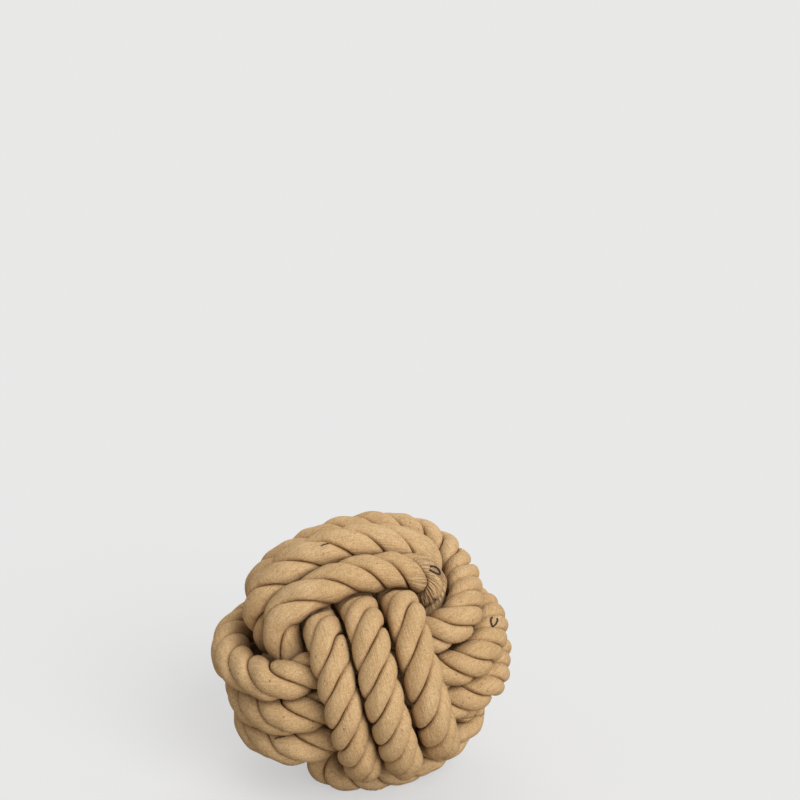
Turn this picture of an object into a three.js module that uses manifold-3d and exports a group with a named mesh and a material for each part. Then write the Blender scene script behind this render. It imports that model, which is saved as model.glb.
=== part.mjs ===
// Rope ball toy: one thick rope wound as a three-turn monkey's fist round a core ball.
// Units are millimetres and degrees. Z is up, the front turns face -Y.
// The ball stands on its three bottom turns, which are pressed flat there.
import * as THREE from 'three';
import { mergeVertices } from 'three/addons/utils/BufferGeometryUtils.js';
import Module from 'manifold-3d';

// Rope and core
const ropeDiameter = 18.8;
const turnGap = 3.5;
const crossingGap = 4.2;
const coreGap = 0.3;
const coreShare = 4.1;
const pieceGap = 0.3;
const flatShare = 0.1;
const leanAngle = 12;
// Height of the soft ball as it stands, as a share of a round one's
const pressShare = 0.9;
// Extra thickness of a turn on its outer side, where it lies over others
const crownShare = 0.12;

// How a turn rises over the turns that it crosses, in degrees from the middle of its outer pass
const riseEnd = 34.5;
const diveEnd = 66.5;
const swellEnd = 70;

// Sidewise step from one turn to the next, made under the turns that cross there
const stepReach = 52;
const stepMiddle = 270;
const stepDelay = 16;
const thirdDriftShare = 0.4;

// Rope from one winding to the next, and the steps of a loop in each tucked end
const crossoverReachShare = 3.2;
const crossoverSteps = 8;
const tailSteps = 2;

// Facets
const stepsPerLoop = 24;
const ropeSides = 6;
const coreDetail = 5;
const headingStep = 1;

// Gap measurements: points taken on each step, and how far apart along the line they count, in diameters
const samplesPerStep = 4;
const apartShare = 3;
const crownCorners = [0, ropeSides - 1];

// Whipping of each rope end
const whippingLength = 9;
const whippingThickness = 1.4;
const whippingSetback = 1.5;
const whippingSides = 12;

// Sewn stitches, each a loop of thread that lies on the rope: its middle is at an angle along the winding and at
// a place round the rope, counted in the sides of its section from the outward one
const threadDiameter = 1.2;
const stitchWidth = 4;
const stitchReachShare = 0.45;
const stitchOpening = 35;
const sideStitchAngle = 382.5;
const sideStitchPlace = 1;
const topStitchAngle = 217.5;
const topStitchPlace = 0.5;

// Outer passes of the turns, first to third, as [outward, sideways] shares of the rope's diameter
const passShares = {
  bottom: [[0.08, -0.2], [-0.15, -0.2], [0, -0.2]],
  top: [[0, -0.15], [0.5, -0.45], [0.1, 0.3]],
  right: [[0.15, -0.6], [0.25, -0.3], [0.25, -0.3]],
  left: [[0.25, -0.05], [-0.1, 0.2], [0.15, 0.1]],
  back: [[-0.15, 0.3], [-0.05, 0.15], [0.05, 0.05]],
  front: [[0.05, -0.35], [0.25, -0.4], [0.25, -0.3]],
};
// Degrees by which a bundle's outer passes sit off its axis
const passShift = { bottom: -5, top: 0, right: 3, left: 0, back: 0, front: 0 };

const fullTurn = 360;
const halfTurn = fullTurn / 2;
const loopStep = fullTurn / stepsPerLoop;
const turnSpacing = ropeDiameter + turnGap;
const coreDiameter = coreShare * ropeDiameter;
const innerRadius = coreDiameter / 2 + coreGap + ropeDiameter / 2;
const outerRadius = innerRadius + ropeDiameter + crossingGap;
const flatDepth = flatShare * ropeDiameter;
const lastPass = passShares.top.length + passShares.bottom.length - 1;

// Rope stretches, as angles along their winding: each ends a step from a crest or from a hidden inner pass
const lastCrest = lastPass * halfTurn;
const crossoverArrive = loopStep;
const crossoverLeave = lastCrest - loopStep;
const hiddenCut = halfTurn / 2 - loopStep;
const startAngle = -hiddenCut;
const startTailEnd = startAngle + tailSteps * loopStep;
const finishAngle = lastCrest + hiddenCut;
const finishTailStart = finishAngle - tailSteps * loopStep;

const axis = (x, y, z) => new THREE.Vector3(x, y, z);

// A winding starts over its long axis, turns towards its short axis and steps along its side axis.
const windings = {
  first: {
    long: axis(0, 0, -1), short: axis(-1, 0, 0), side: axis(0, 1, 0),
    faces: ['bottom', 'top'], stepOffset: -stepDelay, driftShare: 0,
  },
  second: {
    long: axis(1, 0, 0), short: axis(0, -1, 0), side: axis(0, 0, -1),
    faces: ['right', 'left'], stepOffset: 0, driftShare: 0,
  },
  third: {
    long: axis(0, 1, 0), short: axis(0, 0, 1), side: axis(1, 0, 0),
    faces: ['back', 'front'], stepOffset: stepDelay, driftShare: thirdDriftShare,
  },
};

const smooth = (t) => THREE.MathUtils.smoothstep(t, 0, 1);
const radians = THREE.MathUtils.degToRad;
const pressed = axis(1, 1, pressShare);

// Angle from the nearest end of the long axis
function offCrest(angle) {
  const turned = THREE.MathUtils.euclideanModulo(angle + halfTurn / 2, halfTurn);
  return Math.abs(turned - halfTurn / 2);
}

// Place across the bundle: -1, 0 and 1 are its three turns
function lane(winding, angle) {
  const step = (middle) => smooth((angle - middle - winding.stepOffset + stepReach) / (2 * stepReach));
  const stepped = step(stepMiddle) + step(stepMiddle + fullTurn) - 1;
  const drifting = (angle - stepMiddle - halfTurn) / fullTurn;
  return THREE.MathUtils.lerp(stepped, drifting, winding.driftShare);
}

// Centre of the rope at an angle: on the inner sphere, and on the outer one over each crest
function ropePoint(winding, angle) {
  const pass = THREE.MathUtils.clamp(Math.round(angle / halfTurn), 0, lastPass);
  const face = winding.faces[pass % winding.faces.length];
  const [outward, sideways] = passShares[face][Math.floor(pass / winding.faces.length)];
  const off = offCrest(angle - passShift[face]);
  const rise = 1 - smooth((off - riseEnd) / (diveEnd - riseEnd));
  const swell = off < swellEnd ? Math.cos(Math.PI / 2 * off / swellEnd) ** 2 : 0;
  const radius = THREE.MathUtils.lerp(innerRadius, outerRadius, rise) + outward * ropeDiameter * swell;
  const width = lane(winding, angle) * turnSpacing + sideways * ropeDiameter * swell;
  const reach = Math.sqrt(radius ** 2 - width ** 2);
  return new THREE.Vector3()
    .addScaledVector(winding.long, reach * Math.cos(radians(angle)))
    .addScaledVector(winding.short, reach * Math.sin(radians(angle)))
    .addScaledVector(winding.side, width);
}

function ropeStretch(winding, from, to) {
  const steps = Math.round((to - from) / loopStep);
  return Array.from({ length: steps + 1 }, (_, i) => ropePoint(winding, from + (to - from) * i / steps));
}

function ropeHeading(winding, angle) {
  return ropePoint(winding, angle + headingStep).sub(ropePoint(winding, angle - headingStep)).normalize();
}

// The rope leaves one winding and joins the next on a cubic curve
function crossover(before, after) {
  const reach = crossoverReachShare * ropeDiameter;
  const start = ropePoint(before, crossoverLeave);
  const end = ropePoint(after, crossoverArrive);
  const curve = new THREE.CubicBezierCurve3(
    start,
    start.clone().addScaledVector(ropeHeading(before, crossoverLeave), reach),
    end.clone().addScaledVector(ropeHeading(after, crossoverArrive), -reach),
    end,
  );
  return curve.getPoints(crossoverSteps).slice(1, -1);
}

// Closed body through rings of points, each ring as long as the others
function ringBody(rings) {
  const sides = rings[0].length;
  const positions = rings.flat().flatMap((p) => [p.x, p.y, p.z]);
  const faces = [];
  for (let i = 0; i + 1 < rings.length; i += 1) {
    for (let j = 0; j < sides; j += 1) {
      const a = i * sides + j;
      const b = i * sides + (j + 1) % sides;
      faces.push(a, b, b + sides, a, b + sides, a + sides);
    }
  }
  const last = (rings.length - 1) * sides;
  for (let j = 1; j + 1 < sides; j += 1) {
    faces.push(0, j + 1, j, last, last + j, last + j + 1);
  }
  const geometry = new THREE.BufferGeometry();
  geometry.setAttribute('position', new THREE.Float32BufferAttribute(positions, 3));
  geometry.setIndex(faces);
  return geometry;
}

// Directions outwards and across at a heading
function squareTo(heading, outward) {
  const up = outward.clone().addScaledVector(heading, -outward.dot(heading)).normalize();
  return [up, new THREE.Vector3().crossVectors(heading, up)];
}

// Corner of a section with a flat side turned outwards and raised by a crown
function cornerOf(k, radius, sides, crown = 0) {
  const turn = 2 * Math.PI * (k + 0.5) / sides;
  const raised = crown * Math.max(Math.cos(turn), 0);
  return new THREE.Vector2(radius * Math.cos(turn) + raised, radius * Math.sin(turn));
}

// Ring of corners round a point
function ring(centre, heading, outward, radius, sides, crown) {
  const [up, across] = squareTo(heading, outward);
  return Array.from({ length: sides }, (_, k) => {
    const corner = cornerOf(k, radius, sides, crown);
    return centre.clone().addScaledVector(up, corner.x).addScaledVector(across, corner.y);
  });
}

// Heading of a line of points at one of them
function headingAt(points, i) {
  const before = points[Math.max(i - 1, 0)];
  const after = points[Math.min(i + 1, points.length - 1)];
  return after.clone().sub(before).normalize();
}

// Crown of the rope with its centre at a point: none on the inner sphere, full on the outer one
function crownAt(point) {
  return crownShare * ropeDiameter * smooth((point.length() - innerRadius) / (outerRadius - innerRadius));
}

// One unbroken rope: the points of its whole route, with the stretches that its nodes take
const route = [];
const marks = {};
function lay(name, points) {
  const joined = route.length > 0 && points[0].distanceTo(route.at(-1)) < pieceGap;
  route.push(...points.slice(joined ? 1 : 0));
  marks[name] = route.length - 1;
}
lay('startTail', ropeStretch(windings.first, startAngle, startTailEnd));
lay('firstTurns', ropeStretch(windings.first, startTailEnd, crossoverLeave));
lay('firstCrossover', crossover(windings.first, windings.second));
lay('firstWinding', ropeStretch(windings.second, crossoverArrive, hiddenCut));
lay('secondTurns', ropeStretch(windings.second, hiddenCut, crossoverLeave));
lay('secondCrossover', crossover(windings.second, windings.third));
lay('secondWinding', ropeStretch(windings.third, crossoverArrive, hiddenCut));
lay('thirdWinding', ropeStretch(windings.third, hiddenCut, finishTailStart));
lay('finishTail', ropeStretch(windings.third, finishTailStart, finishAngle));

// Ring of the rope at a point of its route, moved along by some millimetres
function ropeRing(i, moved = 0) {
  const heading = headingAt(route, i);
  const centre = route[i].clone().addScaledVector(heading, moved);
  return ring(centre, heading, route[i], ropeDiameter / 2, ropeSides, crownAt(route[i]));
}

// Rope between two points of its route, cut square with half of the gap left at each end
function ropeBody(from, to) {
  const between = Array.from({ length: to - from - 1 }, (_, k) => ropeRing(from + 1 + k));
  return ringBody([ropeRing(from, pieceGap / 2), ...between, ropeRing(to, -pieceGap / 2)]);
}

// A rope end is drawn in under its whipping
const whippedRadius = ropeDiameter / 2 - whippingThickness - 2 * pieceGap;
const lastPoint = route.length - 1;

function endRings(end, inward) {
  const heading = headingAt(route, end);
  const depth = whippingLength + 2 * whippingSetback;
  const profile = [[0, whippedRadius], [depth, whippedRadius], [depth + whippingThickness, ropeDiameter / 2]];
  return profile.map(([distance, radius]) => (
    ring(route[end].clone().addScaledVector(heading, inward * distance), heading, route[end], radius, ropeSides)
  ));
}

function whipping(end, inward) {
  const heading = headingAt(route, end);
  const middle = whippingSetback + whippingLength / 2;
  const centre = route[end].clone().addScaledVector(heading, inward * middle);
  const inner = (whippedRadius + pieceGap) / Math.cos(Math.PI / whippingSides);
  const outer = inner + whippingThickness;
  const half = whippingLength / 2;
  const profile = [[inner, -half], [outer, -half], [outer, half], [inner, half], [inner, -half]];
  const sleeve = new THREE.LatheGeometry(profile.map(([r, y]) => new THREE.Vector2(r, y)), whippingSides);
  const turn = new THREE.Quaternion().setFromUnitVectors(axis(0, 1, 0), heading);
  sleeve.applyQuaternion(turn);
  sleeve.translate(centre.x, centre.y, centre.z);
  return sleeve;
}

// Open loop of thread on the rope at the middle of one of its steps
function stitch(winding, angle, place) {
  const before = ropePoint(winding, angle - loopStep / 2);
  const after = ropePoint(winding, angle + loopStep / 2);
  const centre = before.clone().lerp(after, 0.5);
  const heading = after.clone().sub(before).normalize();
  const crown = (crownAt(before) + crownAt(after)) / 2;
  const [up, across] = squareTo(heading, centre);
  const clearance = (pieceGap + threadDiameter / 2) / Math.cos(Math.PI / ropeSides);
  const points = Array.from({ length: stepsPerLoop + 1 }, (_, i) => {
    const turn = radians(stitchOpening + (fullTurn - 2 * stitchOpening) * i / stepsPerLoop);
    const side = place - 0.5 + stitchReachShare * Math.cos(turn);
    const corner = cornerOf(Math.floor(side), ropeDiameter / 2, ropeSides, crown);
    const next = cornerOf(Math.floor(side) + 1, ropeDiameter / 2, ropeSides, crown);
    const lifted = corner.lerp(next, side - Math.floor(side));
    lifted.setLength(lifted.length() + clearance);
    return centre.clone()
      .addScaledVector(up, lifted.x)
      .addScaledVector(across, lifted.y)
      .addScaledVector(heading, stitchWidth / 2 * Math.sin(turn));
  });
  const rings = points.map((p, i) => (
    ring(p, headingAt(points, i), p.clone().sub(centre), threadDiameter / 2, ropeSides)
  ));
  return { points, rings };
}

// Points evenly along each step of a line
function sampled(points) {
  const line = [];
  for (let i = 0; i + 1 < points.length; i += 1) {
    for (let k = 0; k < samplesPerStep; k += 1) {
      line.push(points[i].clone().lerp(points[i + 1], k / samplesPerStep));
    }
  }
  return line;
}

// Least distance between two lines of the same steps, save where they are close along the tube
function leastDistance(points, others, diameter) {
  const line = sampled(points);
  const otherLine = sampled(others);
  const along = [0];
  line.slice(1).forEach((p, i) => along.push(along[i] + p.distanceTo(line[i])));
  let least = Infinity;
  for (let i = 0; i < line.length; i += 1) {
    for (let j = 0; j < line.length; j += 1) {
      const apart = Math.abs(along[j] - along[i]) > apartShare * diameter;
      if (apart) least = Math.min(least, line[i].distanceTo(otherLine[j]));
    }
  }
  return least;
}

// Least gap to itself of a tube along a line of points, as the pressed ball has it
const leastGap = (points, diameter) => pressShare * (leastDistance(points, points, diameter) - diameter);

// Place of a point of the upright ball in the one that stands, but for the moves to its centre and floor
const standing = (point) => point.clone().applyAxisAngle(axis(0, 1, 0), -radians(leanAngle)).multiply(pressed);
const tape = (points) => points.slice(1).reduce((sum, p, i) => sum + p.distanceTo(points[i]), 0);
const sideStitch = stitch(windings.second, sideStitchAngle, sideStitchPlace);
const topStitch = stitch(windings.first, topStitchAngle, topStitchPlace);
const stretches = {
  first_winding: [marks.startTail, marks.firstWinding],
  second_winding: [marks.firstWinding, marks.secondWinding],
  third_winding: [marks.secondWinding, marks.thirdWinding],
};
for (const [name, [from, to]] of Object.entries(stretches)) {
  const gap = leastGap(route.slice(from, to + 1), ropeDiameter);
  console.log(`${name}: least gap to itself ${gap.toFixed(2)} mm`);
}
const ropeGap = leastGap(route, ropeDiameter);
const ropeLength = Math.round(tape(route.map(standing)));
console.log(`whole rope: ${ropeLength} mm long, least gap to itself ${ropeGap.toFixed(2)} mm`);
for (const corner of crownCorners) {
  const ridge = route.map((_, i) => ropeRing(i)[corner]);
  const gap = pressShare * (leastDistance(route, ridge, ropeDiameter) - ropeDiameter / 2);
  console.log(`crown corner ${corner}: least gap to another turn ${gap.toFixed(2)} mm`);
}
for (const [name, { points }] of Object.entries({ sideStitch, topStitch })) {
  const gap = leastGap(points, threadDiameter);
  console.log(`${name}: least gap to itself ${gap.toFixed(2)} mm`);
}

const bodies = {
  core_ball: new THREE.IcosahedronGeometry(coreDiameter / 2, coreDetail),
  start_tail: ringBody([...endRings(0, 1), ropeRing(marks.startTail, -pieceGap / 2)]),
  first_winding: ropeBody(...stretches.first_winding),
  second_winding: ropeBody(...stretches.second_winding),
  third_winding: ropeBody(...stretches.third_winding),
  finish_tail: ringBody([ropeRing(marks.thirdWinding, pieceGap / 2), ...endRings(lastPoint, -1).reverse()]),
  start_whipping: whipping(0, 1),
  finish_whipping: whipping(lastPoint, -1),
  side_stitch: ringBody(sideStitch.rings),
  top_stitch: ringBody(topStitch.rings),
};

// Lean and press the ball as it stands, centre it and set its lowest turns just under the floor
const box = new THREE.Box3();
for (const geometry of Object.values(bodies)) {
  geometry.rotateY(-radians(leanAngle));
  geometry.scale(...pressed);
  geometry.computeBoundingBox();
  box.union(geometry.boundingBox);
}
const middle = box.getCenter(new THREE.Vector3());
const wasm = await Module();
wasm.setup();

// Solid of a closed mesh whose shared points are merged
function solid(geometry) {
  const plain = geometry.clone();
  plain.deleteAttribute('normal');
  plain.deleteAttribute('uv');
  const merged = mergeVertices(plain);
  return new wasm.Manifold(new wasm.Mesh({
    numProp: 3,
    vertProperties: Float32Array.from(merged.attributes.position.array),
    triVerts: Uint32Array.from(merged.index.array),
  }));
}

function geometryOf(manifold) {
  const mesh = manifold.getMesh();
  const geometry = new THREE.BufferGeometry();
  geometry.setAttribute('position', new THREE.Float32BufferAttribute(mesh.vertProperties, 3));
  geometry.setIndex(Array.from(mesh.triVerts));
  return geometry;
}

const span = box.getSize(new THREE.Vector3());
const floorCut = solid(new THREE.BoxGeometry(span.x, span.y, span.z).translate(0, 0, -span.z / 2));

const rope = { color: 0xc8aa7d, roughness: 0.95, metalness: 0 };
const twine = { color: 0xd8c39a, roughness: 0.9, metalness: 0 };
const thread = { color: 0x3a2c20, roughness: 0.8, metalness: 0 };
const finishes = {
  core_ball: { color: 0xb59a70, roughness: 0.95, metalness: 0 },
  start_whipping: twine,
  finish_whipping: twine,
  side_stitch: thread,
  top_stitch: thread,
};

const ropeBall = new THREE.Group();
for (const [name, geometry] of Object.entries(bodies)) {
  geometry.translate(-middle.x, -middle.y, -box.min.z - flatDepth);
  const shape = name === 'first_winding' ? geometryOf(solid(geometry).subtract(floorCut)) : geometry;
  const mesh = new THREE.Mesh(shape, new THREE.MeshStandardMaterial(finishes[name] ?? rope));
  mesh.name = name;
  ropeBall.add(mesh);
}

export default ropeBall;
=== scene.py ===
"""Rope ball toy: a monkey's fist of laid cotton rope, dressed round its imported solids. Lengths are metres."""

import math

import bpy
import numpy as np
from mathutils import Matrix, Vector


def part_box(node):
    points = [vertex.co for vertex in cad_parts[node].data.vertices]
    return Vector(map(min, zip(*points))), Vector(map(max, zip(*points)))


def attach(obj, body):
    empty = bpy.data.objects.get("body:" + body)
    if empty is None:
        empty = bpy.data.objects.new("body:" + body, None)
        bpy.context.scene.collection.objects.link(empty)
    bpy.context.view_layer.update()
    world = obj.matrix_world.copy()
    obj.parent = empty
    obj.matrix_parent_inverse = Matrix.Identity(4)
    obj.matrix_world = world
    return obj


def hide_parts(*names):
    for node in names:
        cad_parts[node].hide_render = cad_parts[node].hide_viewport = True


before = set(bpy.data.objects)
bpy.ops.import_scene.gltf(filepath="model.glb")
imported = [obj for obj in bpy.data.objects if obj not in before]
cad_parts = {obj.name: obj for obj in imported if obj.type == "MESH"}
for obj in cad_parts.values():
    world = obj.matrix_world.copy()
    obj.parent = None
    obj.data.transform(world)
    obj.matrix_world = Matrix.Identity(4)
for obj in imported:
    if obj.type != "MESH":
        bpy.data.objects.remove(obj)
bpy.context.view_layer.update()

bl_info = {
    "name": "Rope ball toy",
    "version": (1, 0, 0),
    "blender": (4, 5, 0),
    "location": "View3D > Sidebar > Rope ball",
    "description": "Builds a monkey's fist ball of laid cotton rope round its packed solids",
    "category": "Object",
}

BODY = "root"

# The route of the rope, as the solids have it
SOLID_DIAMETER = 0.0188
TURN_GAP = 0.0035
CROSSING_GAP = 0.0042
CORE_GAP = 0.0003
PIECE_GAP = 0.0003
LEAN_ANGLE = math.radians(12)
PRESS_SHARE = 0.9
RISE_END = 34.5
DIVE_END = 66.5
SWELL_END = 70
STEP_REACH = 52
STEP_MIDDLE = 270
STEP_DELAY = 16
THIRD_DRIFT_SHARE = 0.4
CROSSOVER_REACH_SHARE = 3.2
LOOP_STEP = 15
TAIL_STEPS = 2
FULL_TURN = 360
HALF_TURN = FULL_TURN / 2
PASS_SHARES = {
    "bottom": [[0.08, -0.2], [-0.15, -0.2], [0, -0.2]],
    "top": [[0, -0.15], [0.5, -0.45], [0.1, 0.3]],
    "right": [[0.15, -0.6], [0.25, -0.3], [0.25, -0.3]],
    "left": [[0.25, -0.05], [-0.1, 0.2], [0.15, 0.1]],
    "back": [[-0.15, 0.3], [-0.05, 0.15], [0.05, 0.05]],
    "front": [[0.05, -0.35], [0.25, -0.4], [0.25, -0.3]],
}
PASS_SHIFT = {"bottom": -5, "top": 0, "right": 3, "left": 0, "back": 0, "front": 0}
WINDINGS = {
    "first": dict(long=(0, 0, -1), short=(-1, 0, 0), side=(0, 1, 0), faces=("bottom", "top"),
                  offset=-STEP_DELAY, drift=0),
    "second": dict(long=(1, 0, 0), short=(0, -1, 0), side=(0, 0, -1), faces=("right", "left"),
                   offset=0, drift=0),
    "third": dict(long=(0, 1, 0), short=(0, 0, 1), side=(1, 0, 0), faces=("back", "front"),
                  offset=STEP_DELAY, drift=THIRD_DRIFT_SHARE),
}

# How the strands lie where a turn is seen, because winding twists and untwists soft rope: winding, angle,
# length along the middle in which a strand goes round, and degrees from the outward side to the middle of
# a strand
TURN_LAYS = [
    ("first", 12, 0.047, 12), ("first", 143, 0.080, 40), ("first", 211, 0.042, 63),
    ("first", 513, 0.060, 20), ("first", 880, 0.058, 15),
    ("second", 28, 0.038, 15), ("second", 134, 0.042, 12), ("second", 173, 0.060, 12),
    ("second", 400, 0.037, 55), ("second", 494, 0.042, 60), ("second", 530, 0.075, 100),
    ("second", 757, 0.035, 10), ("second", 855, 0.049, 90), ("second", 887, 0.080, 90),
    ("third", 158, 0.0435, 26), ("third", 521, 0.044, 57), ("third", 884, 0.0515, 31),
]

# Where each winding starts and ends
LAST_PASS = 5
LAST_CREST = LAST_PASS * HALF_TURN
HIDDEN_CUT = HALF_TURN / 2 - LOOP_STEP

# Radii of the ball, from the core's solid
core_low, core_high = (np.array(corner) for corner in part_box("core_ball"))
BALL_CENTRE = (core_low + core_high) / 2
CORE_RADIUS = float(core_high[0] - core_low[0]) / 2
CORE_PRESS = np.array([1, 1, PRESS_SHARE])
INNER_RADIUS = CORE_RADIUS + CORE_GAP + SOLID_DIAMETER / 2
OUTER_RADIUS = INNER_RADIUS + SOLID_DIAMETER + CROSSING_GAP
TURN_SPACING = SOLID_DIAMETER + TURN_GAP

# Laid rope: its strands, and the steps of its surface
STRANDS = 3
DEFAULT_LAY = 0.052
STRAND_COLUMNS = 26
RING_STEP = 0.0016
ROUTE_STEP_ANGLE = 0.5
HEADING_STEP_ANGLE = 1
CROSSOVER_SAMPLES = 60
CROWDING_SHARE = 0.45
# Width of the painted shade in the creases, as a share of the crevice angle
CREASE_SHADE_SHARE = 0.5
OUTWARD_SPREAD = -0.1
SEAM_GAP = 0.00003

# How the rope is squeezed: the gap between turns and how softly they meet, the least cosine at which a ray
# meets a turn, the core or the floor, a radius past them all, and which points of other turns count
CONTACT_GAP = 0.00025
CONTACT_SOFTNESS = 0.002
CONTACT_FACING = 0.1
FLOOR_FACING = 0.05
NO_CONTACT = 1
NEIGHBOUR_STEPS = 2
NEIGHBOURS = 28
NEIGHBOUR_APART_SHARE = 2

# Waves that make the strands uneven: their number, the shares of their mean pitch, and their seed
UNEVEN_WAVES = 9
UNEVEN_PITCHES = (0.6, 1.7)
UNEVEN_SEED = 3

# Whippings and stitches, as the solids have them. A stitch's place round the rope is counted in the sides of
# a hexagon from the outward one
WHIPPING_LENGTH = 0.009
WHIPPING_THICKNESS = 0.0014
WHIPPING_SETBACK = 0.0015
WHIPPED_RADIUS = SOLID_DIAMETER / 2 - WHIPPING_THICKNESS - 2 * PIECE_GAP
TWINE_TURNS = 6
TWINE_STEPS = 24
TWINE_SIDES = 12
HEXAGON_SIDE = math.radians(60)
THREAD_DIAMETER = 0.0011
STITCH_OPENING = math.radians(25)
STITCH_STEPS = 90
STITCH_SPAN = 31
STITCH_PULL = 0.0009
STITCH_SINK = 3
STITCH_SINK_SHARE = 0.12
PLY_TURNS = 9
PLY_WAIST = 0.72
STITCHES = {
    "side_stitch": dict(winding="second", angle=382.5, turn=HEXAGON_SIDE, length=0.007,
                        reach=math.radians(9)),
    "top_stitch": dict(winding="first", angle=217.5, turn=HEXAGON_SIDE / 2, length=0.0048,
                       reach=math.radians(9)),
}

# Dark fibres caught in the felt, the top one a dark stroke of painted shade in a fold: where their middles lie,
# and degrees from the rope's heading
FIBRE_DIAMETER = 0.0007
FIBRE_STEPS = 40
FIBRE_WAVE = 0.00012
FIBRE_SINK = 2
FIBRES = {
    "side_fibre": dict(winding="second", angle=866, turn=math.radians(70), length=0.005,
                       slant=math.radians(-27)),
    # Painted shade: a dark fibre where a fold of the top turn lies in shade
    "top_fold_shade_fibre": dict(winding="first", angle=536, turn=math.radians(46), length=0.004, slant=0),
}

# Wound core: bands of yarn laid over each other in great circles
CORE_COLUMNS = 300
CORE_ROWS = 150
CORE_BANDS = 14
CORE_BAND_SHARE = 0.5
CORE_YARN_WIDTH = 0.0042
CORE_YARN_DEPTH = 0.0011
CORE_BAND_DEPTH = 0.0012
CORE_SEED = 5

# Right end of the front top turn, where the felt is worn off the yarn
WORN_WINDING = "first"
WORN_ANGLE = 222
WORN_REACH = 0.013
WORN_MOST = 0.9

# Noise of the finishes: features to a metre, or for the yarn to a streak, with their detail and roughness
YARN_NOISE = {"streaks": (1.0, 3.0, 0.6), "coarse": (1.0, 1.0, 0.4)}
COTTON_NOISE = {
    "tufts": (420, 4.0, 0.65),
    "grain": (1500, 3.0, 0.6),
    "cloud": (60, 3.0, 0.6),
    "patch": (22, 1.0, 0.5),
}
THREAD_NOISE = (3000, 3.0, 0.6)

# Tints of the cotton, from the lowest to the top one: noise, the values between which it sets in, the most
# that it covers, and its colour
COTTON_TINTS = [
    ("cloud", 0.35, 0.7, 0.5, "Thin"),
    ("patch", 0.4, 0.65, 0.3, "Pale"),
    ("streaks", 0.45, 0.72, 0.25, "Pale"),
    ("streaks", 0.52, 0.36, 0.55, "Thin"),
    ("tufts", 0.55, 0.3, 0.6, "Thin"),
    ("grain", 0.48, 0.68, 0.7, "Pale"),
    ("grain", 0.5, 0.34, 0.6, "Thin"),
]

# Height and roughness of the felt. A span has the low and high of a noise, and the values that go with them
TUFT_HEIGHT = 0.8
GRAIN_HEIGHT = 0.45
COTTON_ROUGHNESS = (0.25, 0.75, 0.86, 0.98)

# Coarse yarn where the felt is worn off: its ridges, and the dark between them, partly painted shade in the
# grooves and partly the bare yarn's darker colour
COARSE_RIDGES = (0.4, 0.6, 0.0, 2.0)
COARSE_GAPS = (0.5, 0.38)
COARSE_SHADE = 0.7

# Flecks: specks to a metre, their size and ragged rim, and the chance above which one is a yellow seed
FLECK_SCALE = 260
FLECK_SIZE = (0.3, 0.16)
FLECK_RIM = 0.2
FLECK_SHADE = 0.65
SEED_CHANCE = 0.75

# Thread: where its wax is rubbed off, and its gloss
THREAD_WEAR = (0.45, 0.75, 0.0, 0.6)
THREAD_ROUGHNESS = (0.3, 0.7, 0.5, 0.8)

# Painted shade in the creases between the strands and towards the gaps between the turns: its strength and
# colour
CREASE_SHADE = 0.85
CREASE_SHADE_COLOUR = (0.13, 0.06, 0.022, 1)

# Painted shade towards the gaps between the turns, by the cosine of the angle from the outward side
GAP_SHADE = 0.7
GAP_FACING = 0.3
GAP_REACH = 0.8

# Light: azimuth from the front to the right, elevation and spread in degrees
LAMP_DISTANCE = 2
LAMPS = {
    "key_light": dict(azimuth=18, elevation=33, strength=2.45, spread=45),
    "fill_light": dict(azimuth=0, elevation=4, strength=0.55, spread=80),
    "back_light": dict(azimuth=165, elevation=35, strength=1.3, spread=60),
}
ROOM_COLOUR = (1, 0.98, 0.96, 1)
ROOM_LIGHT = 0.42
FLOOR_EVEN_SHARE = 0.62
FLOOR_SIDES = 64

# Photograph: its frame and lens, and where the ball's centre is seen
PHOTO_SIDE = 800
SENSOR_WIDTH = 36
LENS = 85
BALL_PIXEL_X = 361.5
BALL_PIXEL_Y = 654.8
BALL_DISTANCE = 1.1
SIGHT_AZIMUTH = math.radians(-14.3)
SIGHT_ELEVATION = math.radians(24.1)


def smooth(t):
    """The cubic 3t^2 - 2t^3 between 0 and 1, level outside."""
    t = np.clip(t, 0, 1)
    return t * t * (3 - 2 * t)


def lerp(a, b, t):
    """The value at a share t of the way from a to b."""
    return a + (b - a) * t


def unit(vectors):
    """Vectors divided by their lengths."""
    return vectors / np.linalg.norm(vectors, axis=-1, keepdims=True)


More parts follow.
